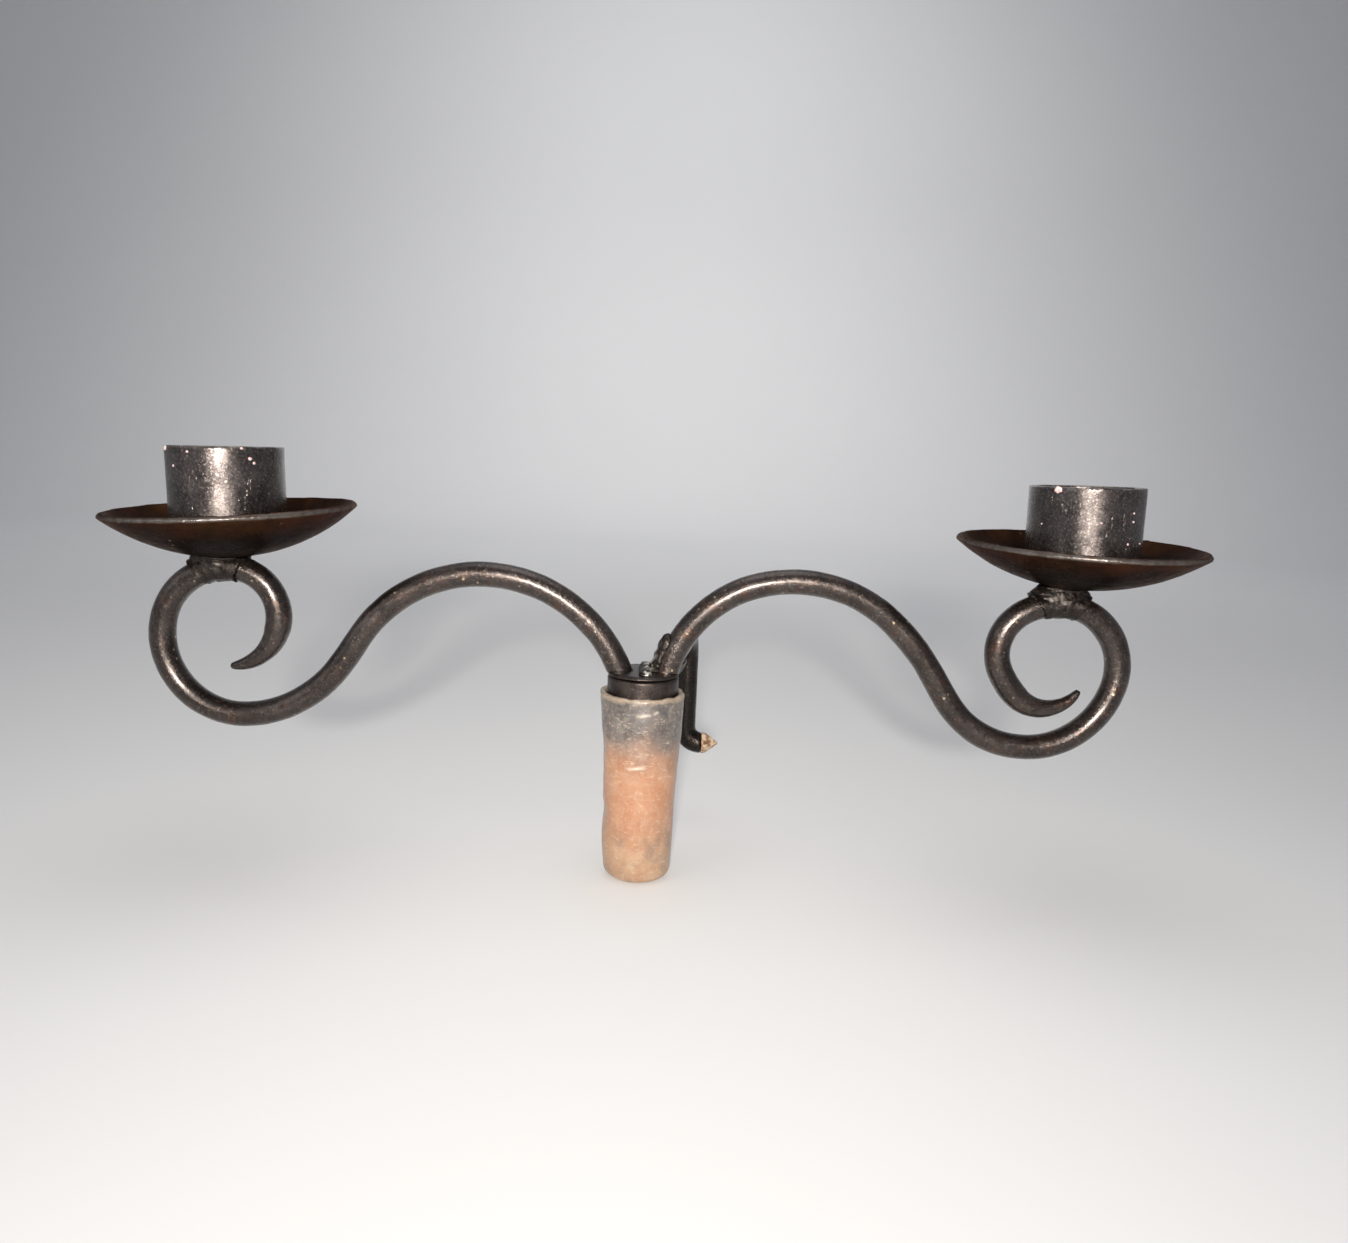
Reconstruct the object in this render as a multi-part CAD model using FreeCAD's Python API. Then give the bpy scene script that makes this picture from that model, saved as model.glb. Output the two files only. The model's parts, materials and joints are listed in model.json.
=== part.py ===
import FreeCAD, Part
import math
import os
from FreeCAD import Rotation, Vector

# Two-arm scroll candle holder on a tapered plug, with a hook behind for a wall.
# Millimetres, +Z up, +X along the arms, +Y towards the wall.
# The origin is on the plug's axis, in the plane where the arms' foot rests on the ferrule.

os.makedirs("parts", exist_ok=True)

# ---------------------------------------------------------------- driving dimensions

bar_d = 6.0                 # round bar of the arms and of the hook
bar_r = bar_d / 2
tip_r = 0.5                 # blunt end of a scroll
tip_power = 0.6             # how late the taper of a scroll's end closes

# Bends of each arm, from its root outwards: (centreline radius, turn in degrees).
# A positive turn is anticlockwise with the arm going towards +X. The left arm is mirrored.
left_root = (5.0, -1.0)
left_heading = 71.0
left_bends = [(35, -130), (81.5, 6), (31, 46), (18.5, 108), (16.5, 82), (11, 81), (12.5, 93)]
left_taper = 16.0
right_root = (5.0, -1.0)
right_heading = 80.0
right_bends = [(30, -68), (34.5, -56), (63.5, -15), (68, 6), (23, 52), (20.5, 79), (15.5, 134), (11, 84),
               (21.5, 20), (9.5, 104)]
right_taper = 18.0

# Seats: a pan and a cup on each scroll. A lean (x, y) sets an axis along (x, y, 1).
pan_d = 56.0
pan_t = 1.5
pan_edge_r = 0.4            # rounding of the pan's rim
cup_od = 25.4
cup_id = 22.1
left_seat = {"x": -97.0, "z": 35.2, "depth": 10.8, "pan_lean": (-0.06, -0.03),
             "cup_x": -97.9, "cup_rise": 14.6, "cup_lean": (-0.02, 0)}
right_seat = {"x": 100.4, "z": 34.9, "depth": 9.8, "pan_lean": (0.01, -0.03),
              "cup_x": 101.0, "cup_rise": 13.9, "cup_lean": (-0.02, 0)}
cup_fillet = 1.8            # leg of the weld round the cup's foot
cup_relief = 0.35           # widening of the cup's bore at its foot, where the tube was deburred
cup_relief_rise = 1.0       # top of that relief above the pan's inner face

# Weld between a scroll and its pan: a spindle-shaped bead along the bar.
left_weld_x = -100.3
right_weld_x = 97.0
pan_weld_length = 15.0
pan_weld_r = 4.9
pan_weld_lift = 0.8         # bead's centre above the bar's centreline

# Foot, spigot and ferrule
collar_r = 8.5
foot_r = 8.5
foot_h = 1.1
foot_shoulder = 0.75        # height of the foot's upright edge
foot_crown_r = 7.0
foot_bulge = 0.12
foot_boss_r = 6.4
foot_relief = 0.35          # shadow gap round the foot, outside its boss
spigot_r = 3.45
spigot_bore_r = 3.5
spigot_top = 0.9
spigot_end = -15.0
spigot_head_r = 4.4
washer_r = 5.6
washer_t = 1.0
washer_play = 0.1
ferrule_pocket_r = 6.0
ferrule_pocket_top = -12.0
ferrule_end = -18.0
core_tenon_end = -15.6

# Sleeve
sleeve_top = -3.7
sleeve_bottom = -50.0
sleeve_wall = 1.4
sleeve_top_r = 10.1
sleeve_waist_r = 8.95
sleeve_waist = -27.0
sleeve_end_r = 8.1
sleeve_round_r = 2.6
sleeve_gap = 0.2            # between the sleeve and what stands in it

# Hook
hook_start = Vector(6.2, 2.8, 3.5)
hook_corner = Vector(11.1, 42.0, 3.5)
hook_toe_z = -28.5
hook_bend_r = 8.0
hook_toe_bend_r = 4.5
hook_toe_straight = 0.3     # round bar left between the bend and the toe's facets
hook_toe_length = 4.8
toe_spread = 3.9            # half diagonal of the facets where the round bar ends
toe_point = 0.2

# Welds at the root of the arms
root_weld_front = Vector(0.7, -5.2, 1.0)
root_weld_back = Vector(0.5, 3.0, 1.2)
root_weld_r = 1.6
root_fillet_low = Vector(3.6, 0, 1.8)
root_fillet_high = Vector(5.8, 0, 8.0)
root_fillet_r = 2.3
hook_weld_length = 9.0
hook_weld_r = 3.9


# ---------------------------------------------------------------- helpers

def save(name, shape):
    """Write one closed solid to its own STEP file."""
    if shape.ShapeType == "Compound" and len(shape.Solids) == 1:
        shape = shape.Solids[0]
    assert shape.isValid() and len(shape.Solids) == 1, name
    shape.exportStep("parts/" + name + ".step")
    print(f"{name:20s} volume {shape.Volume:9.1f} mm3")


def line(a, b):
    return Part.LineSegment(a, b).toShape()


def arc(a, through, b):
    return Part.Arc(a, through, b).toShape()


def revolve(edges):
    """Turn a closed outline, drawn in the XZ plane, about Z."""
    return Part.Face(Part.Wire(edges)).revolve(Vector(0, 0, 0), Vector(0, 0, 1), 360)


def turned(points):
    """Turn a closed polygon of (radius, z) points about Z."""
    corners = [Vector(r, 0, z) for r, z in points]
    return revolve([line(a, b) for a, b in zip(corners, corners[1:] + corners[:1])])


def rod(radius, low, high):
    return Part.makeCylinder(radius, high - low, Vector(0, 0, low))


def ball(centre, radius):
    return Part.makeSphere(radius, centre)


def spindle(centre, length, radius, direction=Vector(1, 0, 0)):
    """Bead of weld: half an ellipse turned about its long axis."""
    ellipse = Part.Ellipse(Vector(0, 0, 0), length / 2, radius)
    half = Part.ArcOfEllipse(ellipse, 0, math.pi).toShape()
    face = Part.Face(Part.Wire([half, line(Vector(-length / 2, 0, 0), Vector(length / 2, 0, 0))]))
    bead = face.revolve(Vector(0, 0, 0), Vector(1, 0, 0), 360)
    return place(bead, Rotation(Vector(1, 0, 0), direction), centre)


def capsule(a, b, radius):
    """Straight bead of weld with round ends."""
    run = (b - a).Length
    slant = radius * math.sqrt(0.5)
    low = Vector(0, 0, -radius)
    high = Vector(0, 0, run + radius)
    near = arc(low, Vector(slant, 0, -slant), Vector(radius, 0, 0))
    side = line(Vector(radius, 0, 0), Vector(radius, 0, run))
    far = arc(Vector(radius, 0, run), Vector(slant, 0, run + slant), high)
    bead = revolve([near, side, far, line(high, low)])
    return place(bead, Rotation(Vector(0, 0, 1), b - a), a)


def place(shape, rotation, position):
    moved = shape.copy()
    moved.Placement = FreeCAD.Placement(position, rotation)
    return moved


# ---------------------------------------------------------------- arms

class BentBar:
    """Centreline of a bar in the XZ plane, made of tangent arcs."""

    def __init__(self, root, heading, bends):
        self.arcs = []
        x, z = root
        angle = math.radians(heading)
        for radius, turn in bends:
            side = 1 if turn > 0 else -1
            centre = (x - side * radius * math.sin(angle), z + side * radius * math.cos(angle))
            end = angle + math.radians(turn)
            self.arcs.append((centre, radius, side, angle, end))
            x = centre[0] + side * radius * math.sin(end)
            z = centre[1] - side * radius * math.cos(end)
            angle = end
        self.length = sum(r * abs(b - a) for _, r, _, a, b in self.arcs)

    def at(self, distance):
        """Point and direction at a distance from the root."""
        for centre, radius, side, start, end in self.arcs:
            run = radius * abs(end - start)
            if distance <= run or (centre, radius, side, start, end) == self.arcs[-1]:
                angle = start + side * distance / radius
                point = Vector(centre[0] + side * radius * math.sin(angle), 0,
                               centre[1] - side * radius * math.cos(angle))
                return point, Vector(math.cos(angle), 0, math.sin(angle))
            distance -= run

    def wire(self, length):
        """The centreline from the root to a distance, as arc edges."""
        edges = []
        done = 0.0
        for centre, radius, side, start, end in self.arcs:
            run = min(radius * abs(end - start), length - done)
            if run <= 0:
                break
            stops = [self.at(done + run * share)[0] for share in (0, 0.5, 1)]
            edges.append(arc(*stops))
            done += run
        return Part.Wire(edges)

    def top(self, x):
        """Highest point of the centreline at a place along X."""
        steps = 2000
        points = [self.at(self.length * k / steps)[0] for k in range(steps + 1)]
        return max((p for p in points if abs(p.x - x) < 0.3), key=lambda p: p.z)


def scroll_arm(bar, taper):
    """Round bar along the centreline, its last stretch drawn down to a blunt tip."""
    full = bar.length - taper
    start, heading = bar.at(0)
    section = Part.Wire(Part.makeCircle(bar_r, start, heading))
    body = bar.wire(full).makePipeShell([section], True, False)
    rings = []
    for share in (0, 0.12, 0.25, 0.4, 0.55, 0.7, 0.82, 0.91, 0.97, 1):
        point, heading = bar.at(full + taper * share)
        radius = tip_r + (bar_r - tip_r) * (1 - share) ** tip_power
        rings.append(Part.Wire(Part.makeCircle(radius, point, heading)))
    tip = Part.makeLoft(rings, True, False)
    return body.fuse(tip).removeSplitter()


# ---------------------------------------------------------------- seats for the candles

class Seat:
    """Dished pan with a tube standing in it. Heights are from the outer edge of the pan's rim."""

    def __init__(self, x, z, depth, pan_lean, cup_x, cup_rise, cup_lean):
        rim = pan_d / 2
        self.depth = depth
        self.cup_rise = cup_rise
        self.outer = (rim ** 2 + depth ** 2) / (2 * depth)
        self.inner = self.outer - pan_t
        self.centre = self.outer - depth
        self.position = Vector(x, 0, z)
        self.cup_position = Vector(cup_x, 0, z)
        self.pan_turn = Rotation(Vector(0, 0, 1), Vector(*pan_lean, 1))
        self.cup_turn = Rotation(Vector(0, 0, 1), Vector(*cup_lean, 1))
        self.middle = self.position + self.pan_turn.multVec(Vector(0, 0, self.centre))

    def floor(self, radius):
        """Height of the pan's inner face at a radius, above the rim's outer edge."""
        return self.centre - math.sqrt(self.inner ** 2 - radius ** 2)

    def sphere_point(self, radius, r):
        return Vector(r, 0, self.centre - math.sqrt(radius ** 2 - r ** 2))

    def pan(self):
        rim = pan_d / 2
        inner_rim = rim * self.inner / self.outer
        a = self.sphere_point(self.outer, 0)
        b = self.sphere_point(self.outer, rim)
        c = self.sphere_point(self.inner, inner_rim)
        d = self.sphere_point(self.inner, 0)
        outer = arc(a, self.sphere_point(self.outer, rim / 2), b)
        inner = arc(c, self.sphere_point(self.inner, inner_rim / 2), d)
        dish = revolve([outer, line(b, c), inner, line(d, a)])
        rims = [e for e in dish.Edges if e.Closed and e.BoundBox.XLength > inner_rim]
        return place(dish.makeFillet(pan_edge_r, rims), self.pan_turn, self.position)

    def under(self):
        """Everything inside the pan's outer face: what welds and bar are cut back to."""
        return ball(self.middle, self.outer)

    def above_floor(self, shape):
        """A shape drawn on the cup's axis, trimmed to what lies above the pan's inner face."""
        return place(shape, self.cup_turn, self.cup_position).common(ball(self.middle, self.inner))

    def bore_start(self):
        """Height where the cup's straight bore begins."""
        return self.floor(cup_id / 2) + cup_relief_rise

    def bore_middle(self):
        """Place of the middle of the cup's straight bore."""
        half_way = (self.bore_start() + self.cup_rise) / 2
        return self.cup_position + self.cup_turn.multVec(Vector(0, 0, half_way))

    def cup(self):
        tube = rod(cup_od / 2, -self.depth, self.cup_rise).cut(rod(cup_id / 2, -self.depth, self.cup_rise))
        tube = tube.cut(rod(cup_id / 2 + cup_relief, -self.depth, self.bore_start()))
        return self.above_floor(tube)

    def cup_weld(self):
        """Concave fillet round the outside of the cup's foot."""
        inner = cup_od / 2
        outer = inner + cup_fillet
        top = Vector(inner, 0, self.floor(inner) + cup_fillet)
        toe = Vector(outer, 0, self.floor(outer))
        hollow = Vector(inner + cup_fillet * 0.35, 0, self.floor(inner) + cup_fillet * 0.5)
        under_toe = Vector(outer, 0, -self.depth)
        under_top = Vector(inner, 0, -self.depth)
        ring = revolve([arc(top, hollow, toe), line(toe, under_toe), line(under_toe, under_top),
                        line(under_top, top)])
        return self.above_floor(ring)


# ---------------------------------------------------------------- foot, spigot, ferrule

def foot_blank():
    """Disc with a low crown, standing on a boss that is a little smaller."""
    a = Vector(0, 0, 0)
    b = Vector(foot_boss_r, 0, 0)
    c = Vector(foot_boss_r, 0, foot_relief)
    d = Vector(foot_r, 0, foot_relief)
    e = Vector(foot_r, 0, foot_shoulder)
    f = Vector(foot_crown_r, 0, foot_h)
    g = Vector(0, 0, foot_h)
    bulge = Vector((foot_r + foot_crown_r) / 2, 0, (foot_shoulder + foot_h) / 2 + foot_bulge)
    return revolve([line(a, b), line(b, c), line(c, d), line(d, e), arc(e, bulge, f), line(f, g), line(g, a)])


def spigot():
    """Pin that fills the foot's bore, its far end riveted over the washer."""
    head_top = ferrule_pocket_top - washer_play - washer_t
    return turned([(0, spigot_top), (spigot_r, spigot_top), (spigot_r, head_top), (spigot_head_r, head_top),
                   (spigot_head_r - 0.6, spigot_end), (0, spigot_end)])


def washer():
    top = ferrule_pocket_top - washer_play
    return rod(washer_r, top - washer_t, top).cut(rod(spigot_r, top - washer_t, top))


def sleeve_inner_r(z):
    """Radius of the sleeve's bore: a straight taper above the waist, a slower one below."""
    if z > sleeve_waist:
        share = (sleeve_top - z) / (sleeve_top - sleeve_waist)
        return sleeve_top_r + (sleeve_waist_r - sleeve_top_r) * share - sleeve_wall
    share = (sleeve_waist - z) / (sleeve_waist - sleeve_bottom)
    return sleeve_waist_r + (sleeve_end_r - sleeve_waist_r) * share - sleeve_wall


def ferrule():
    straight = -5.0
    neck_r = sleeve_inner_r(straight) - sleeve_gap
    end_r = sleeve_inner_r(ferrule_end) - sleeve_gap
    edge = 0.3
    return turned([(spigot_bore_r, 0), (collar_r - edge, 0), (collar_r, -edge), (neck_r, straight),
                   (end_r, ferrule_end), (ferrule_pocket_r, ferrule_end),
                   (ferrule_pocket_r, ferrule_pocket_top), (spigot_bore_r, ferrule_pocket_top)])


def core():
    foot_z = sleeve_bottom + sleeve_wall
    edge = 1.2
    top_r = sleeve_inner_r(ferrule_end) - sleeve_gap
    waist_r = sleeve_inner_r(sleeve_waist) - sleeve_gap
    foot_r_inner = sleeve_inner_r(foot_z) - sleeve_gap
    return turned([(0, core_tenon_end), (ferrule_pocket_r, core_tenon_end), (ferrule_pocket_r, ferrule_end),
                   (top_r, ferrule_end), (waist_r, sleeve_waist), (foot_r_inner, foot_z + edge),
                   (foot_r_inner - edge, foot_z), (0, foot_z)])


def sleeve():
    lip = 0.5
    outside = turned([(0, sleeve_top), (sleeve_top_r, sleeve_top), (sleeve_waist_r, sleeve_waist),
                      (sleeve_end_r, sleeve_bottom), (0, sleeve_bottom)])
    low_rim = [e for e in outside.Edges if e.Closed and abs(e.BoundBox.ZMax - sleeve_bottom) < 0.01]
    outside = outside.makeFillet(sleeve_round_r, low_rim)
    floor_z = sleeve_bottom + sleeve_wall
    inside = turned([(0, sleeve_top), (sleeve_top_r - sleeve_wall, sleeve_top),
                     (sleeve_waist_r - sleeve_wall, sleeve_waist), (sleeve_inner_r(floor_z), floor_z),
                     (0, floor_z)])
    shell = outside.cut(inside)
    rims = [e for e in shell.Edges if e.Closed and abs(e.BoundBox.ZMin - sleeve_top) < 0.01]
    return shell.makeFillet(lip, rims)


# ---------------------------------------------------------------- hook

def fillet_path(points, radii):
    """Straight runs through points, joined by tangent arcs of the given radii."""
    edges = []
    here = points[0]
    for before, corner, after, radius in zip(points, points[1:], points[2:], radii):
        back = (before - corner).normalize()
        ahead = (after - corner).normalize()
        half = math.acos(max(-1, min(1, back.dot(ahead)))) / 2
        reach = radius / math.tan(half)
        a = corner + back * reach
        b = corner + ahead * reach
        middle = (back + ahead).normalize()
        centre = corner + middle * (radius / math.sin(half))
        edges.append(line(here, a))
        edges.append(arc(a, centre - middle * radius, b))
        here = b
    edges.append(line(here, points[-1]))
    return Part.Wire(edges)


def hook():
    corner_low = Vector(hook_corner.x, hook_corner.y, hook_toe_z)
    end = corner_low + Vector(hook_toe_bend_r + hook_toe_straight, 0, 0)
    path = fillet_path([hook_start, hook_corner, corner_low, end], [hook_bend_r, hook_toe_bend_r])
    heading = (hook_corner - hook_start).normalize()
    section = Part.Wire(Part.makeCircle(bar_r, hook_start, heading))
    return path.makePipeShell([section], True, False), end


def square(x, half):
    """Diamond-wise square across the X axis."""
    corners = [Vector(x, half, 0), Vector(x, 0, half), Vector(x, -half, 0), Vector(x, 0, -half)]
    return Part.makePolygon(corners + corners[:1])


def toe(start):
    """Round bar forged to a four-sided point."""
    round_end = Part.makeCylinder(bar_r, hook_toe_length, Vector(0, 0, 0), Vector(1, 0, 0))
    facets = Part.makeLoft([square(0, toe_spread), square(hook_toe_length, toe_point)], True, True)
    return place(round_end.common(facets), Rotation(), start)


def largest(shape):
    return max(shape.Solids, key=lambda solid: solid.Volume)


# ---------------------------------------------------------------- build

left_bar = BentBar(left_root, left_heading, left_bends)
right_bar = BentBar(right_root, right_heading, right_bends)
sides = {"left": (Seat(**left_seat), left_bar, left_taper, left_weld_x),
         "right": (Seat(**right_seat), right_bar, right_taper, right_weld_x)}
below_foot = Part.makeBox(60, 60, 30, Vector(-30, -30, foot_relief - 30))

arms = {}
pin = spigot()
for side, (seat, bar, taper, weld_x) in sides.items():
    arm = scroll_arm(bar, taper)
    if side == "left":
        arm = arm.mirror(Vector(0, 0, 0), Vector(1, 0, 0))
    arm = largest(arm.cut(below_foot).cut(seat.under()).cut(pin))
    weld_centre = Vector(weld_x, 0, bar.top(abs(weld_x)).z + pan_weld_lift)
    bead = spindle(weld_centre, pan_weld_length, pan_weld_r)
    arms[side] = arm
    save(side + "_arm", arm)
    save(side + "_drip_pan", seat.pan())
    save(side + "_candle_cup", seat.cup())
    save(side + "_cup_weld", seat.cup_weld())
    save(side + "_pan_weld", largest(bead.cut(seat.under()).cut(arm)))
    bore = seat.bore_middle()
    bore_length = seat.cup_rise - seat.bore_start()
    print(f"{side} bar {bar.length:.1f} mm long")
    print(f"{side} bore {bore_length:.2f} mm long, its middle at x {bore.x:.3f}, z {bore.z:.3f}")

both_arms = arms["left"].fuse(arms["right"])
foot = largest(foot_blank().cut(both_arms).cut(pin))
foot_space = rod(foot_r, -foot_r, foot_h)
bar_hook, toe_start = hook()
bar_hook = largest(bar_hook.cut(both_arms).cut(foot))
nugget = capsule(root_weld_front, root_weld_back, root_weld_r)
nugget = nugget.fuse(capsule(root_fillet_low, root_fillet_high, root_fillet_r))
nugget = largest(nugget.cut(foot_space).cut(both_arms))
hook_bead = spindle(hook_start, hook_weld_length, hook_weld_r, hook_corner - hook_start)

save("arm_foot", foot)
save("swivel_spigot", pin)
save("retaining_washer", washer())
save("root_weld", nugget)
save("wall_hook", bar_hook)
save("hook_toe", toe(toe_start))
hook_bead = hook_bead.cut(below_foot).cut(both_arms).cut(foot).cut(pin).cut(bar_hook).cut(nugget)
save("hook_weld", largest(hook_bead))
save("ferrule", ferrule())
save("plug_core", core())
save("plug_sleeve", sleeve())
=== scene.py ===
import json
import math

import bmesh
import bpy
from mathutils import Matrix, Vector, noise

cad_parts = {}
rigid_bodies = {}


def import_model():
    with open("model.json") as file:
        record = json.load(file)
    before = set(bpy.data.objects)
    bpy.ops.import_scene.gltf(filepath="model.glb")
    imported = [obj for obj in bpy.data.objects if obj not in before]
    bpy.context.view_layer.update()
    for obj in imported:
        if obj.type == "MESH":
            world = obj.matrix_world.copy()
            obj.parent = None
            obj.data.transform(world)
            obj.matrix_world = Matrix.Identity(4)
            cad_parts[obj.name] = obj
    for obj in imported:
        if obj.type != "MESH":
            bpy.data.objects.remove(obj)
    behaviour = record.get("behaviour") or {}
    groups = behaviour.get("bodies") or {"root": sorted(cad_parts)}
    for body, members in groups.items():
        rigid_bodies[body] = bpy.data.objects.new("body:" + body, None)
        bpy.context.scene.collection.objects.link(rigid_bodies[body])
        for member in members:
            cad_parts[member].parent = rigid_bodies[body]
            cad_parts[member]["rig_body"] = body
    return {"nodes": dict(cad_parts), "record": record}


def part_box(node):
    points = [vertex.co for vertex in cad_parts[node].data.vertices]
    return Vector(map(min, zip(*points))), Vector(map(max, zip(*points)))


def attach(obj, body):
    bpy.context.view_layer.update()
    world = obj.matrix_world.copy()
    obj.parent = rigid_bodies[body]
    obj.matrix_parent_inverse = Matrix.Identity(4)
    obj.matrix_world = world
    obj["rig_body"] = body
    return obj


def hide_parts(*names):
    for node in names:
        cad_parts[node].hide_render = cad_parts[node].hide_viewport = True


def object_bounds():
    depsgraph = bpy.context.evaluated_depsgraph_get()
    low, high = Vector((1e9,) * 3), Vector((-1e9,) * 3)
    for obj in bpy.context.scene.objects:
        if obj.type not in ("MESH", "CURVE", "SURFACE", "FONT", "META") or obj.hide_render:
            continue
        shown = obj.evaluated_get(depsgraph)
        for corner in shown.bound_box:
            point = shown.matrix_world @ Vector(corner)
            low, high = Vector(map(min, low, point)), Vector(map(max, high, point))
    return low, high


# Two-arm scroll candle holder on a tapered plug: the looks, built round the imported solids.
# Metres, +Z up, +X along the arms, +Y towards the wall. mm is one millimetre.

mm = 0.001
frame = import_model()
cad_low, cad_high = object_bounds()
record = frame["record"]


# ---------------------------------------------------------------- places, from the frame

def middle(node):
    low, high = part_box(node)
    return (low + high) / 2


floor_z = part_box("plug_sleeve")[0].z
sleeve_low, sleeve_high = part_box("plug_sleeve")
mounts = {m["name"]: m for m in record["mounts"]}
sides = ("left", "right")
cup_axis = {side: Vector(mounts[side + "_candle"]["axis"]).normalized() for side in sides}
cup_place = {side: Vector(mounts[side + "_candle"]["pos_m"]) for side in sides}
cup_outer_r = 12.7 * mm
pan_r = 28 * mm


# ---------------------------------------------------------------- mesh work

def skin(node, voxel, smooth=3):
    """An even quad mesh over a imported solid, to be worked on, which stands for that solid."""
    source = frame["nodes"][node]
    mesh = source.data.copy()
    mesh.materials.clear()
    piece = bpy.data.objects.new(node + "_surface", mesh)
    bpy.context.scene.collection.objects.link(piece)
    remesh = piece.modifiers.new("even", "REMESH")
    remesh.mode = "VOXEL"
    remesh.voxel_size = voxel
    soften = piece.modifiers.new("soften", "SMOOTH")
    soften.factor = 0.5
    soften.iterations = smooth
    bpy.context.view_layer.update()
    graph = bpy.context.evaluated_depsgraph_get()
    worked = bpy.data.meshes.new_from_object(piece.evaluated_get(graph))
    piece.modifiers.clear()
    piece.data = worked
    bpy.data.meshes.remove(mesh)
    for face in worked.polygons:
        face.use_smooth = True
    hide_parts(node)
    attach(piece, source["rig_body"])
    return piece


def smoothstep(low, high, value):
    share = min(1.0, max(0.0, (value - low) / (high - low)))
    return share * share * (3 - 2 * share)


def lumps(point, scale, seed=0.0, octaves=2):
    """Soft noise from about -1 to 1, with lumps about `scale` metres across."""
    return noise.fractal(point / scale + Vector((seed, seed * 1.7, -seed)), 0.9, 2.0, octaves)


def carve(piece, height):
    """Moves each vertex along its normal by height(point, normal) metres, inside the CAD's box."""
    mesh = piece.data
    normals = [v.normal.copy() for v in mesh.vertices]
    for vertex, normal in zip(mesh.vertices, normals):
        point = vertex.co + normal * height(vertex.co, normal)
        vertex.co = [min(max(point[k], cad_low[k]), cad_high[k]) for k in range(3)]
    mesh.update()


def paint(piece, name, value):
    """Stores value(point, normal), from 0 to 1, on each vertex for the material to read."""
    mesh = piece.data
    layer = mesh.attributes.new(name, "FLOAT", "POINT")
    layer.data.foreach_set("value", [value(v.co, v.normal) for v in mesh.vertices])


# ---------------------------------------------------------------- materials

class Look:
    """A node material, with short calls for the nodes that it is made of."""

    def __init__(self, name):
        self.material = bpy.data.materials.new(name)
        self.material.use_nodes = True
        self.tree = self.material.node_tree
        self.shader = self.tree.nodes["Principled BSDF"]
        self.place = self.add("ShaderNodeTexCoord").outputs["Object"]

    def add(self, kind, **settings):
        node = self.tree.nodes.new(kind)
        for key, value in settings.items():
            setattr(node, key, value)
        return node

    def join(self, source, socket):
        self.tree.links.new(source, socket)

    def stretched(self, scale):
        mapping = self.add("ShaderNodeMapping")
        mapping.inputs["Scale"].default_value = scale
        self.join(self.place, mapping.inputs["Vector"])
        return mapping.outputs["Vector"]

    def grain(self, size, detail=4, rough=0.6, place=None):
        """Noise from 0 to 1 whose lumps are about `size` metres across."""
        node = self.add("ShaderNodeTexNoise")
        node.inputs["Scale"].default_value = 1 / size
        node.inputs["Detail"].default_value = detail
        node.inputs["Roughness"].default_value = rough
        self.join(place or self.place, node.inputs["Vector"])
        return node.outputs["Fac"]

    def specks(self, size, reach):
        """1 in the middle of scattered round specks, falling to 0 at their edges."""
        node = self.add("ShaderNodeTexVoronoi")
        node.inputs["Scale"].default_value = 1 / size
        self.join(self.place, node.inputs["Vector"])
        near = self.ramp(node.outputs["Distance"], (0.0, 1.0), (reach, 0.0))
        return self.times(near, self.ramp(self.grain(size * 2.3, 2), (0.52, 0.0), (0.6, 1.0)))

    def ramp(self, source, *stops):
        """Steps a value through (position, value) stops."""
        node = self.add("ShaderNodeValToRGB")
        elements = node.color_ramp.elements
        while len(elements) < len(stops):
            elements.new(0.5)
        for element, (position, value) in zip(elements, stops):
            element.position = position
            element.color = (value, value, value, 1)
        self.join(source, node.inputs["Fac"])
        return node.outputs["Color"]

    def times(self, a, b):
        node = self.add("ShaderNodeMath", operation="MULTIPLY", use_clamp=True)
        for socket, value in zip(node.inputs, (a, b)):
            if isinstance(value, (int, float)):
                socket.default_value = value
            else:
                self.join(value, socket)
        return node.outputs["Value"]

    def mix(self, share, a, b):
        """Blends colour a into colour b. Each is an (r, g, b) or a socket."""
        node = self.add("ShaderNodeMix", data_type="RGBA")
        sockets = [s for s in node.inputs if s.type == "RGBA"]
        for socket, value in zip(sockets, (a, b)):
            if isinstance(value, tuple):
                socket.default_value = (*value, 1)
            else:
                self.join(value, socket)
        self.join(share, node.inputs[0])
        return next(s for s in node.outputs if s.type == "RGBA")

    def painted(self, name):
        return self.add("ShaderNodeAttribute", attribute_name=name).outputs["Fac"]

    def bump(self, *layers):
        """Stacks (height, depth in metres) layers of relief."""
        normal = None
        for height, depth in layers:
            node = self.add("ShaderNodeBump")
            node.inputs["Distance"].default_value = depth
            self.join(height, node.inputs["Height"])
            if normal:
                self.join(normal, node.inputs["Normal"])
            normal = node.outputs["Normal"]
        self.join(normal, self.shader.inputs["Normal"])

    def set(self, **values):
        for key, value in values.items():
            socket = self.shader.inputs[key.replace("_", " ")]
            if isinstance(value, (int, float)):
                socket.default_value = value
            elif isinstance(value, tuple):
                socket.default_value = (*value, 1)
            else:
                self.join(value, socket)


def shade(colour, tone):
    return tuple(channel * tone for channel in colour)


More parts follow.
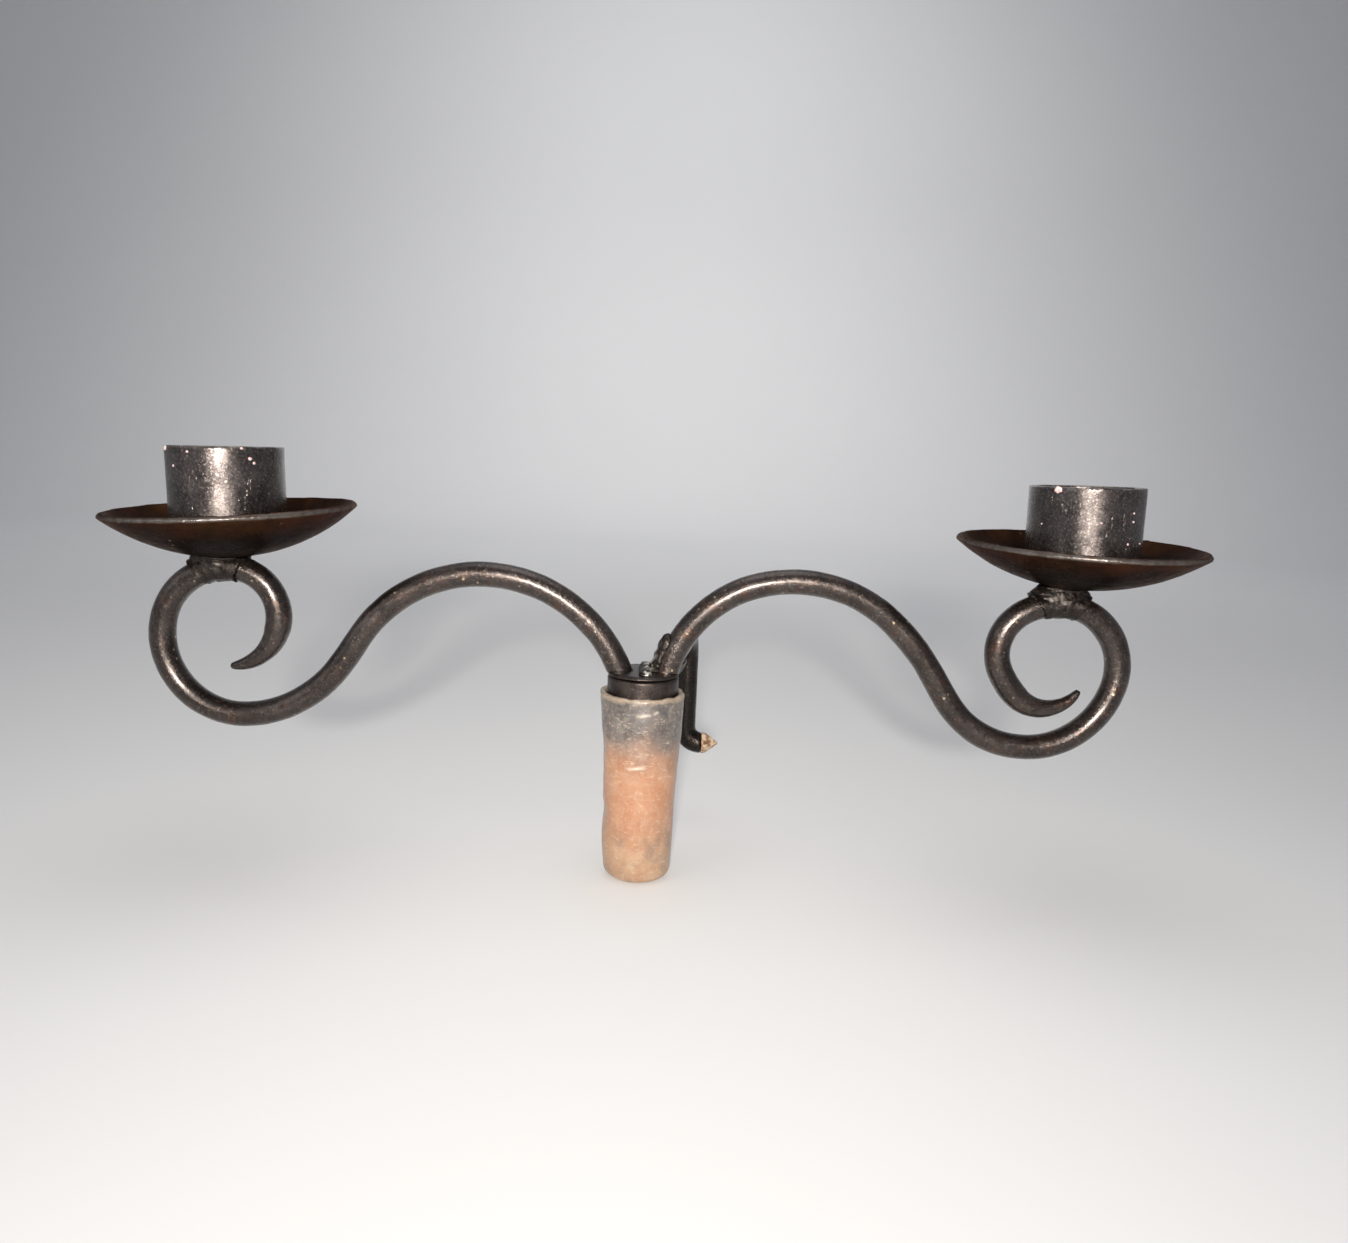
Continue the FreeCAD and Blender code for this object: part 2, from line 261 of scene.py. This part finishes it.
def forged_iron(name, tone):
    """Oiled black-brown bar: pale grains and pits that break up its shine. tone darkens it all."""
    look = Look(name)
    cloud = look.ramp(look.grain(9 * mm, 3), (0.35, 0.0), (0.7, 1.0))
    fine = look.grain(0.6 * mm, 6, 0.8)
    coat = look.mix(cloud, shade((0.024, 0.017, 0.014), tone), shade((0.066, 0.051, 0.046), tone))
    rust = look.ramp(look.grain(3.1 * mm, 5, 0.7), (0.52, 0.0), (0.70, 0.8))
    coat = look.mix(rust, coat, shade((0.085, 0.040, 0.024), tone))
    grains = look.ramp(fine, (0.56, 0.0), (0.68, 0.8))
    coat = look.mix(grains, coat, shade((0.34, 0.28, 0.23), tone))
    pits = look.ramp(look.grain(0.9 * mm, 6, 0.8), (0.37, 1.0), (0.46, 0.0))
    coat = look.mix(pits, coat, shade((0.012, 0.008, 0.006), tone))
    coat = look.mix(look.specks(2.4 * mm, 0.17), coat, shade((0.80, 0.64, 0.40), tone))
    rough = look.ramp(look.grain(1.6 * mm, 5, 0.75), (0.34, 0.14), (0.66, 0.34))
    look.set(Base_Color=coat, Metallic=0.8, Roughness=rough)
    look.set(Coat_Weight=0.6 * tone, Coat_Roughness=0.24)
    look.bump((look.grain(2.0 * mm, 5, 0.7), 0.09 * mm), (fine, 0.08 * mm))
    return look.material


def cup_steel():
    """Tube steel with a burnt, mottled skin, fine scratches and a bare top edge."""
    look = Look("cup_steel")
    cloud = look.ramp(look.grain(4.5 * mm, 5, 0.65), (0.35, 0.0), (0.68, 1.0))
    skin_tone = look.mix(cloud, (0.046, 0.037, 0.035), (0.125, 0.105, 0.099))
    fine = look.grain(0.5 * mm, 6, 0.8)
    skin_tone = look.mix(look.ramp(fine, (0.53, 0.0), (0.68, 0.8)), skin_tone, (0.46, 0.41, 0.38))
    skin_tone = look.mix(look.ramp(look.grain(1.4 * mm, 5, 0.7), (0.58, 0.0), (0.70, 0.8)),
                         skin_tone, (0.030, 0.022, 0.020))
    skin_tone = look.mix(look.specks(2.2 * mm, 0.15), skin_tone, (0.75, 0.66, 0.56))
    skin_tone = look.mix(look.painted("bare"), skin_tone, (0.42, 0.37, 0.33))
    drawn = look.stretched((1, 1, 0.08))
    lines = look.grain(0.35 * mm, 3, 0.6, drawn)
    scratch = look.ramp(look.grain(0.8 * mm, 2, 0.5, look.stretched((1.0, 0.3, 0.16))),
                        (0.66, 0.0), (0.69, 1.0))
    rough = look.ramp(look.grain(1.1 * mm, 6, 0.8), (0.34, 0.17), (0.66, 0.36))
    look.set(Base_Color=skin_tone, Metallic=0.9, Roughness=rough, Coat_Weight=0.4, Coat_Roughness=0.2)
    look.bump((lines, 0.02 * mm), (fine, 0.045 * mm), (scratch, 0.05 * mm))
    return look.material


def pan_steel():
    """Pressed sheet: dark, with warm brown patches towards its outer edge, its rim worn to bare metal."""
    look = Look("pan_steel")
    cloud = look.ramp(look.grain(6 * mm, 5, 0.65), (0.35, 0.0), (0.7, 1.0))
    under = look.mix(cloud, (0.009, 0.006, 0.0045), (0.028, 0.018, 0.012))
    fine = look.grain(0.5 * mm, 6, 0.72)
    under = look.mix(look.ramp(fine, (0.60, 0.0), (0.76, 0.5)), under, (0.26, 0.20, 0.15))
    under = look.mix(look.specks(2.8 * mm, 0.13), under, (0.72, 0.58, 0.38))
    warm = look.times(look.painted("outer"), look.ramp(look.grain(5 * mm, 4), (0.3, 0.2), (0.7, 0.9)))
    tone = look.mix(warm, under, (0.080, 0.034, 0.014))
    bare = look.times(look.painted("rim"), look.ramp(look.grain(1.6 * mm, 4), (0.3, 0.45), (0.6, 1.0)))
    tone = look.mix(bare, tone, (0.17, 0.155, 0.145))
    rough = look.ramp(look.grain(1.9 * mm, 4, 0.7), (0.3, 0.22), (0.7, 0.46))
    look.set(Base_Color=tone, Metallic=0.8, Roughness=rough)
    look.set(Specular_Tint=(0.35, 0.25, 0.2), Specular_IOR_Level=0.25)
    look.bump((look.grain(2.4 * mm, 4, 0.6), 0.07 * mm), (fine, 0.05 * mm))
    return look.material


def weld_metal():
    """Rough dark bead, with a pale painted highlight where the mesh is painted for it."""
    look = Look("weld_metal")
    coarse = look.grain(1.5 * mm, 5, 0.7)
    tone = look.mix(look.ramp(coarse, (0.38, 0.0), (0.66, 1.0)), (0.014, 0.010, 0.008), (0.040, 0.031, 0.027))
    fine = look.grain(0.5 * mm, 6, 0.8)
    tone = look.mix(look.ramp(fine, (0.56, 0.0), (0.68, 0.7)), tone, (0.24, 0.20, 0.17))
    # Painted highlight on the bead.
    tone = look.mix(look.painted("painted_sheen"), tone, (0.62, 0.58, 0.52))
    rough = look.ramp(fine, (0.3, 0.22), (0.7, 0.50))
    look.set(Base_Color=tone, Metallic=0.8, Roughness=rough, Coat_Weight=0.15, Coat_Roughness=0.3)
    look.bump((coarse, 0.12 * mm), (fine, 0.09 * mm))
    return look.material


def turned_steel():
    """Lathe-turned collar: rings of fine tool marks under a dark oxide."""
    look = Look("turned_steel")
    cloud = look.ramp(look.grain(3.5 * mm, 4), (0.35, 0.0), (0.7, 1.0))
    tone = look.mix(cloud, (0.034, 0.026, 0.024), (0.085, 0.068, 0.062))
    fine = look.grain(0.4 * mm, 5, 0.7)
    tone = look.mix(look.ramp(fine, (0.58, 0.0), (0.75, 0.5)), tone, (0.30, 0.27, 0.25))
    rings = look.grain(0.25 * mm, 2, 0.5, look.stretched((0.05, 0.05, 1)))
    rough = look.ramp(fine, (0.3, 0.28), (0.7, 0.46))
    look.set(Base_Color=tone, Metallic=0.85, Roughness=rough)
    look.bump((rings, 0.02 * mm), (look.grain(1.4 * mm, 5, 0.7), 0.08 * mm), (fine, 0.05 * mm))
    return look.material


def cut_steel():
    """Bare forged end, warm grey, with bruised facets."""
    look = Look("cut_steel")
    coarse = look.grain(1.3 * mm, 5, 0.7)
    tone = look.mix(look.ramp(coarse, (0.40, 0.0), (0.60, 1.0)), (0.18, 0.085, 0.045), (0.66, 0.50, 0.34))
    fine = look.grain(0.4 * mm, 5, 0.7)
    look.set(Base_Color=tone, Metallic=0.35, Roughness=look.ramp(fine, (0.3, 0.35), (0.7, 0.6)))
    look.bump((coarse, 0.20 * mm), (fine, 0.06 * mm))
    return look.material


def bare_wood():
    """Turned softwood core with long grain."""
    look = Look("bare_wood")
    lines = look.grain(0.9 * mm, 4, 0.6, look.stretched((1, 1, 0.07)))
    tone = look.mix(look.ramp(lines, (0.35, 0.0), (0.65, 1.0)), (0.30, 0.145, 0.060), (0.62, 0.36, 0.18))
    look.set(Base_Color=tone, Roughness=look.ramp(lines, (0.3, 0.5), (0.7, 0.75)))
    look.bump((lines, 0.06 * mm))
    return look.material


def milky_plastic():
    """Milky sleeve, painted grey over the steel stub inside it and peach over the wood, with painted shadows
    under the lip and painted highlights along its creases.
    """
    look = Look("milky_plastic")
    cloud = look.ramp(look.grain(5 * mm, 4, 0.6), (0.36, 0.0), (0.66, 1.0))
    fine = look.grain(0.6 * mm, 6, 0.75)
    peach = look.mix(cloud, (0.38, 0.178, 0.094), (0.44, 0.240, 0.142))
    smoke = look.mix(cloud, (0.070, 0.061, 0.060), (0.20, 0.180, 0.165))
    straw = look.mix(cloud, (0.31, 0.172, 0.100), (0.41, 0.265, 0.162))
    tone = look.mix(look.painted("smoke"), peach, smoke)
    tone = look.mix(look.painted("foot"), tone, straw)
    haze = look.ramp(look.grain(1.3 * mm, 6, 0.8), (0.50, 0.0), (0.68, 0.40))
    tone = look.mix(haze, tone, (0.50, 0.40, 0.31))
    tone = look.mix(look.painted("stain"), tone, (0.17, 0.135, 0.11))
    tone = look.mix(look.painted("shadow"), tone, (0.055, 0.047, 0.050))
    tone = look.mix(look.painted("lip"), tone, (0.42, 0.33, 0.24))
    level = look.stretched((0.35, 0.35, 1.0))
    rubs = look.ramp(look.grain(0.7 * mm, 4, 0.7, level), (0.58, 0.0), (0.66, 0.5))
    tone = look.mix(rubs, tone, (0.60, 0.46, 0.34))
    tone = look.mix(look.ramp(fine, (0.58, 0.0), (0.70, 0.5)), tone, (0.72, 0.60, 0.47))
    # Painted highlight: pale glints along the creases.
    tone = look.mix(look.painted("painted_glint"), tone, (0.95, 0.86, 0.72))
    tone = look.mix(look.specks(3.4 * mm, 0.08), tone, (0.16, 0.06, 0.04))
    rough = look.ramp(look.grain(2.5 * mm, 4, 0.7), (0.3, 0.30), (0.7, 0.50))
    look.set(Base_Color=tone, Roughness=rough, Subsurface_Weight=0.35, Subsurface_Scale=1.2 * mm)
    look.shader.inputs["Subsurface Radius"].default_value = (1.0, 0.6, 0.4)
    look.set(IOR=1.49, Transmission_Weight=0.12, Coat_Weight=0.4, Coat_Roughness=0.16)
    look.bump((look.grain(3.2 * mm, 4, 0.6), 0.18 * mm), (fine, 0.05 * mm))
    return look.material


def wax():
    """Old candle wax, white with a pink cast."""
    look = Look("wax")
    tone = look.mix(look.ramp(look.grain(0.8 * mm, 4), (0.4, 0.0), (0.6, 1.0)),
                    (0.80, 0.42, 0.46), (0.88, 0.70, 0.64))
    look.set(Base_Color=tone, Roughness=look.ramp(look.grain(0.5 * mm, 3), (0.3, 0.35), (0.7, 0.55)),
             Subsurface_Weight=0.3, Subsurface_Scale=0.5 * mm)
    look.bump((look.grain(0.5 * mm, 4), 0.05 * mm))
    return look.material


iron = forged_iron("forged_iron", 1.0)
# Painted shade: a darker copy of the bar iron for the wall hook, which sits further back in shadow.
shaded_iron = forged_iron("shaded_iron", 0.3)
cup_look = cup_steel()
pan_look = pan_steel()
weld_look = weld_metal()
collar_look = turned_steel()
toe_look = cut_steel()
wood_look = bare_wood()
sleeve_look = milky_plastic()
wax_look = wax()


def finish_piece(piece, material):
    piece.data.materials.clear()
    piece.data.materials.append(material)


# ---------------------------------------------------------------- bars

def forge_marks(depth, seed):
    """Relief of a bar worked by hand: long soft flats and smaller dents."""
    def height(point, normal):
        flats = lumps(point, 9 * mm, seed) * depth
        dents = min(0.0, lumps(point, 3.2 * mm, seed + 5) + 0.25) * depth * 0.8
        return flats + dents
    return height


for seed, node in enumerate(("left_arm", "right_arm", "wall_hook")):
    bar = skin(node, 0.42 * mm)
    carve(bar, forge_marks(0.10 * mm, 3.0 + seed))
    # The wall hook takes the painted-shade copy of the iron.
    finish_piece(bar, shaded_iron if node == "wall_hook" else iron)

toe = skin("hook_toe", 0.25 * mm, smooth=1)
carve(toe, lambda point, normal: 0.12 * mm * lumps(point, 1.6 * mm, 2.0))
finish_piece(toe, toe_look)


# ---------------------------------------------------------------- pans and cups

def off_axis(point, side):
    """Distance of a point from a cup's axis, and its height along it from the mount's place."""
    arm = point - cup_place[side]
    along = arm.dot(cup_axis[side])
    return (arm - cup_axis[side] * along).length, along


def make_pan(side, seed):
    node = side + "_drip_pan"
    pan = skin(node, 0.42 * mm, smooth=2)
    centre = middle(node)

    def radius(point):
        return math.hypot(point.x - centre.x, point.y)

    carve(pan, lambda point, normal: 0.07 * mm * lumps(point, 7 * mm, seed)
          + 0.10 * mm * lumps(point, 4 * mm, seed + 3) * smoothstep(pan_r - 2 * mm, pan_r, radius(point)))
    paint(pan, "rim", lambda point, normal: smoothstep(pan_r - 0.9 * mm, pan_r - 0.3 * mm, radius(point))
          * smoothstep(-0.75, -0.35, normal.z))
    paint(pan, "outer", lambda point, normal: smoothstep(pan_r * 0.68, pan_r, radius(point)))
    finish_piece(pan, pan_look)


def make_cup(side, seed):
    cup = skin(side + "_candle_cup", 0.32 * mm, smooth=2)
    top = max(off_axis(v.co, side)[1] for v in cup.data.vertices)

    def rim_nicks(point, normal):
        near_top = smoothstep(top - 1.5 * mm, top, off_axis(point, side)[1])
        return 0.05 * mm * lumps(point, 6 * mm, seed) + 0.03 * mm * near_top * lumps(point, 2 * mm, seed + 4)

    carve(cup, rim_nicks)
    paint(cup, "bare", lambda point, normal:
          0.7 * smoothstep(top - 0.4 * mm, top - 0.1 * mm, off_axis(point, side)[1])
          * smoothstep(-0.2, 0.4, lumps(point, 2.5 * mm, seed + 8) + 0.2))
    finish_piece(cup, cup_look)


def crest_highlight(size, seed, amount):
    """Painted highlight where a bead catches the light: on its lumps, on faces turned to the front and to the
    top.
    """
    def painted_sheen(point, normal):
        facing = smoothstep(-0.3, 0.4, normal.z - normal.y)
        return amount * facing * smoothstep(0.1, 0.6, lumps(point, size, seed, 3))
    return painted_sheen


def make_bead(node, voxel, depth, size, seed, painted_sheen, flatter=0.0):
    """A weld bead: the smooth solid roughened, and `flatter` metres pressed in below and in front."""
    bead = skin(node, voxel, smooth=1)
    carve(bead, lambda point, normal: depth * lumps(point, size, seed, 3)
          - flatter * smoothstep(0.1, 0.8, max(-normal.z, 0.8 * abs(normal.y))))
    # Painted highlight, stored for the material.
    paint(bead, "painted_sheen", painted_sheen)
    finish_piece(bead, weld_look)


for seed, side in enumerate(sides):
    make_pan(side, 11.0 + seed)
    make_cup(side, 21.0 + seed)
    make_bead(side + "_cup_weld", voxel=0.3 * mm, depth=0.12 * mm, size=1.5 * mm, seed=31.0 + seed,
              painted_sheen=crest_highlight(1.5 * mm, 31.0 + seed, 0.05))
    make_bead(side + "_pan_weld", voxel=0.25 * mm, depth=0.32 * mm, size=3.0 * mm, seed=41.0 + seed,
              painted_sheen=crest_highlight(3 * mm, 43.0 + seed, 0.05), flatter=0.9 * mm)


# ---------------------------------------------------------------- foot and collar

def painted_root_highlight(point, normal):
    """Painted highlight: a bright forked streak on the weld down the middle of the crotch, on faces turned to
    the front and top.
    """
    trickle_x = 1.2 * mm
    fork_z = 1.6 * mm
    fork = 0.9 * mm + abs(point.z - fork_z) * 0.25
    across = abs(point.x - trickle_x)
    patchy = smoothstep(-0.25, 0.35, lumps(point, 1.3 * mm, 53.0, 3))
    facing = smoothstep(-0.2, 0.3, normal.z - normal.y)
    return patchy * facing * (1 - smoothstep(fork * 0.5, fork * 1.3, across))


make_bead("root_weld", 0.2 * mm, 0.30 * mm, 1.7 * mm, 51.0, painted_root_highlight)
make_bead("hook_weld", 0.22 * mm, 0.30 * mm, 1.9 * mm, 52.0, crest_highlight(1.9 * mm, 52.0, 0.35))
foot = skin("arm_foot", 0.22 * mm, smooth=2)
carve(foot, lambda point, normal: 0.06 * mm * lumps(point, 2.5 * mm, 61.0))
finish_piece(foot, collar_look)
collar_stub_r = 6.5 * mm
collar = skin("ferrule", 0.25 * mm, smooth=1)
carve(collar, lambda point, normal: 0.03 * mm * lumps(point, 3 * mm, 62.0)
      if math.hypot(point.x, point.y) > collar_stub_r else 0.0)
finish_piece(collar, collar_look)

for node, material, slot in (("swivel_spigot", collar_look, "collar_steel"),
                             ("retaining_washer", collar_look, "collar_steel"),
                             ("plug_core", wood_look, "core_wood")):
    inner = frame["nodes"][node]
    bevel = inner.modifiers.new("broken_edges", "BEVEL")
    bevel.width = 0.15 * mm
    bevel.segments = 2
    bevel.limit_method = "ANGLE"
    bevel.angle_limit = math.radians(40)
    finish_piece(inner, material)


# ---------------------------------------------------------------- sleeve

def make_sleeve():
    sleeve = skin("plug_sleeve", 0.36 * mm, smooth=2)
    # Hollows pressed into the sides: place, reach, depth. A negative depth is a swelling.
    dents = [(Vector((-9.3, -1, -20)) * mm, 7 * mm, 0.45 * mm),
             (Vector((-8.6, -2, -33.5)) * mm, 2.2 * mm, 0.6 * mm),
             (Vector((-8.4, -1, -42)) * mm, 5 * mm, -0.35 * mm),
             (Vector((8.8, -2, -31)) * mm, 6 * mm, 0.2 * mm)]
    # Thin level creases across the front: x, z, half width. Each also gets a painted highlight, a pale glint.
    ridges = [(0.9 * mm, -7.5 * mm, 1.6 * mm),
              (3.6 * mm, -6.8 * mm, 0.6 * mm),
              (-0.7 * mm, -20.4 * mm, 2.2 * mm)]
    ridge_rise = 0.16 * mm
    patch = 8 * mm
    smoke_slant = 6
    height = sleeve_high.z - sleeve_low.z

    def share(point):
        """0 at the foot of the sleeve, 1 at its lip."""
        return (point.z - sleeve_low.z) / height

    def on_ridge(point):
        """How far a point lies on one of the creases, from 0 to 1."""
        if point.y > 0:
            return 0.0
        most = 0.0
        for x, z, half_width in ridges:
            along = (point.x - x) / half_width
            across = (point.z - z - 0.15 * mm * math.sin(2.4 * along)) / (0.30 * mm)
            most = max(most, math.exp(-along ** 4 - across ** 2))
        return most

    def relief(point, normal):
        outside = 1.0 if normal.dot(Vector((point.x, point.y, 0))) > 0 else 0.0
        up = share(point)
        soft = 0.18 * mm * lumps(point, 9 * mm, 71.0) + 0.05 * mm * lumps(point, 2.5 * mm, 72.0)
        lip = smoothstep(0.955, 0.99, up) * 0.35 * mm * lumps(point, 3.5 * mm, 73.0)
        for place, reach, depth in dents:
            soft -= depth * math.exp(-((point - place).length / reach) ** 2)
        soft += ridge_rise * on_ridge(point)
        return outside * soft + lip

    def smoke(point, normal):
        """Grey near the lip, reaching lower on the right."""
        return smoothstep(0.56, 0.86, share(point) + 0.10 * lumps(point, patch, 74.0) + smoke_slant * point.x)

    def foot(point, normal):
        return 1 - smoothstep(0.08, 0.42, share(point) + 0.08 * lumps(point, patch, 75.0))

    def stain(point, normal):
        """Dirt near the foot and near the lip, none on the clean middle."""
        clean = smoothstep(0.2, 0.4, share(point)) * (1 - smoothstep(0.62, 0.8, share(point)))
        return smoothstep(-0.1, 0.75, lumps(point, 4.5 * mm, 76.0, 4)) * 0.55 * (1 - clean)

    def shadow(point, normal):
        """Two dark patches under the lip, and a fainter one lower on the right."""
        beside = (abs(point.x - 0.3 * mm) - 4.6 * mm) / (2.8 * mm)
        upper = math.exp(-beside ** 2 - ((point.z + 5.6 * mm) / (3.4 * mm)) ** 2)
        lower = math.exp(-((point.x - 5 * mm) / (3 * mm)) ** 2 - ((point.z + 12 * mm) / (4 * mm)) ** 2)
        return 0.85 * smoothstep(-0.6, 0.5, lumps(point, 2 * mm, 78.0, 3)) * max(upper, 0.6 * lower)

    # Painted highlight: a pale glint along each crease, there in any light.
    def painted_glint(point, normal):
        return 0.45 * on_ridge(point)

    def lip_edge(point, normal):
        return 0.6 * smoothstep(0.965, 0.985, share(point) + 0.012 * lumps(point, 2 * mm, 77.0))

    carve(sleeve, relief)
    for name, value in (("smoke", smoke), ("foot", foot), ("stain", stain), ("shadow", shadow),
                        ("painted_glint", painted_glint), ("lip", lip_edge)):
        paint(sleeve, name, value)
    finish_piece(sleeve, sleeve_look)


make_sleeve()


# ---------------------------------------------------------------- wax flecks on the cups

def make_flecks(side, flecks):
    """Small flat drops of wax: (turn from the front in degrees, share of the height, radius in mm)."""
    low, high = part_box(side + "_candle_cup")
    mesh = bmesh.new()
    for turn, rise, size in flecks:
        angle = math.radians(turn - 90)
        out = Vector((math.cos(angle), math.sin(angle), 0))
        along = cup_axis[side]
        z = low.z + (high.z - low.z) * rise
        centre = cup_place[side] + along * ((z - cup_place[side].z) / along.z) + out * cup_outer_r
        turned = out.to_track_quat("Z", "Y").to_matrix().to_4x4()
        flat = Matrix.Diagonal((size * mm, size * 0.8 * mm, size * 0.35 * mm, 1))
        drop = bmesh.ops.create_icosphere(mesh, subdivisions=3, radius=1.0,
                                          matrix=Matrix.Translation(centre) @ turned @ flat)
        for vertex in drop["verts"]:
            vertex.co += (vertex.co - centre) * 0.35 * noise.noise(vertex.co / (0.6 * mm))
    data = bpy.data.meshes.new(side + "_wax_flecks")
    mesh.to_mesh(data)
    mesh.free()
    for face in data.polygons:
        face.use_smooth = True
    piece = bpy.data.objects.new(side + "_wax_flecks", data)
    bpy.context.scene.collection.objects.link(piece)
    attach(piece, "holder")
    data.materials.append(wax_look)


make_flecks("left", [(-51, 0.95, 0.75), (-33, 0.79, 0.35), (-13, 0.93, 0.3),
                     (39, 0.98, 0.35), (47, 0.88, 0.45), (51, 0.84, 0.35)])
make_flecks("right", [(-50, 0.95, 0.9), (30, 0.74, 0.3), (30, 0.65, 0.35), (25, 0.42, 0.32),
                      (47, 0.42, 0.3), (-6, 0.63, 0.25), (-67, 0.58, 0.25)])


# ---------------------------------------------------------------- floor, lights, camera

def make_stage():
    """Pale floor that curves up into a backdrop."""
    half_width = 3.0
    front = -2.0
    back = 0.9
    bend = 0.5
    top = 2.0
    steps = 16
    profile = [(front, floor_z)]
    for k in range(steps + 1):
        angle = math.pi / 2 * k / steps
        profile.append((back + bend * math.sin(angle), floor_z + bend * (1 - math.cos(angle))))
    profile.append((back + bend, floor_z + top))
    mesh = bpy.data.meshes.new("studio_floor")
    points = [(x, y, z) for y, z in profile for x in (-half_width, half_width)]
    faces = [(2 * k, 2 * k + 1, 2 * k + 3, 2 * k + 2) for k in range(len(profile) - 1)]
    mesh.from_pydata(points, [], faces)
    for face in mesh.polygons:
        face.use_smooth = True
    floor = bpy.data.objects.new("studio_floor", mesh)
    bpy.context.scene.collection.objects.link(floor)
    look = Look("pale_floor")
    look.set(Base_Color=look.mix(look.grain(0.3, 3), (0.76, 0.76, 0.76), (0.80, 0.80, 0.80)), Roughness=0.8)
    mesh.materials.append(look.material)


def soft_light(name, place, aim, size, power, colour=(1, 1, 1), spread=180):
    data = bpy.data.lights.new(name, "AREA")
    data.shape = "DISK"
    data.size = size
    data.energy = power
    data.color = colour
    data.spread = math.radians(spread)
    lamp = bpy.data.objects.new(name, data)
    lamp.location = place
    lamp.rotation_mode = "QUATERNION"
    lamp.rotation_quaternion = (Vector(aim) - Vector(place)).to_track_quat("-Z", "Y")
    bpy.context.scene.collection.objects.link(lamp)


def make_camera():
    """Held about 23 cm in front, a little above the swivel, pointing slightly down."""
    place = Vector((6.777, -233.112, 52.679)) * mm
    tilt = math.radians(9.6)
    roll = math.radians(2.4)
    forward = Vector((0, math.cos(tilt), -math.sin(tilt)))
    level_right = Vector((1, 0, 0))
    level_up = Vector((0, math.sin(tilt), math.cos(tilt)))
    right = level_right * math.cos(roll) + level_up * math.sin(roll)
    up = level_up * math.cos(roll) - level_right * math.sin(roll)
    data = bpy.data.cameras.new("camera")
    data.sensor_width = 36
    data.lens = 26.706
    data.clip_start = 0.01
    data.clip_end = 20
    camera = bpy.data.objects.new("camera", data)
    turn = Matrix((right, up, -forward)).transposed().to_4x4()
    camera.matrix_world = Matrix.Translation(place) @ turn
    bpy.context.scene.collection.objects.link(camera)
    bpy.context.scene.camera = camera


make_stage()
soft_light("front_light", (0.0, -0.55, 0.13), (0, 0, 0), 0.055, 0.80, (1.0, 0.95, 0.88), spread=70)
soft_light("overhead", (0.0, 0.1, 0.9), (0, 0.1, 0), 0.8, 1.9)
soft_light("backdrop_wash", (0, 0.5, 1.0), (0, 1.4, 0.2), 0.8, 2.4, spread=110)
soft_light("side_fill", (-0.7, -0.5, 0.3), (0, 0, 0), 0.5, 0.6)

world = bpy.data.worlds.new("studio")
world.use_nodes = True
world.node_tree.nodes["Background"].inputs["Color"].default_value = (0.55, 0.56, 0.60, 1)
world.node_tree.nodes["Background"].inputs["Strength"].default_value = 0.5
bpy.context.scene.world = world
bpy.context.scene.view_settings.view_transform = "Standard"

make_camera()
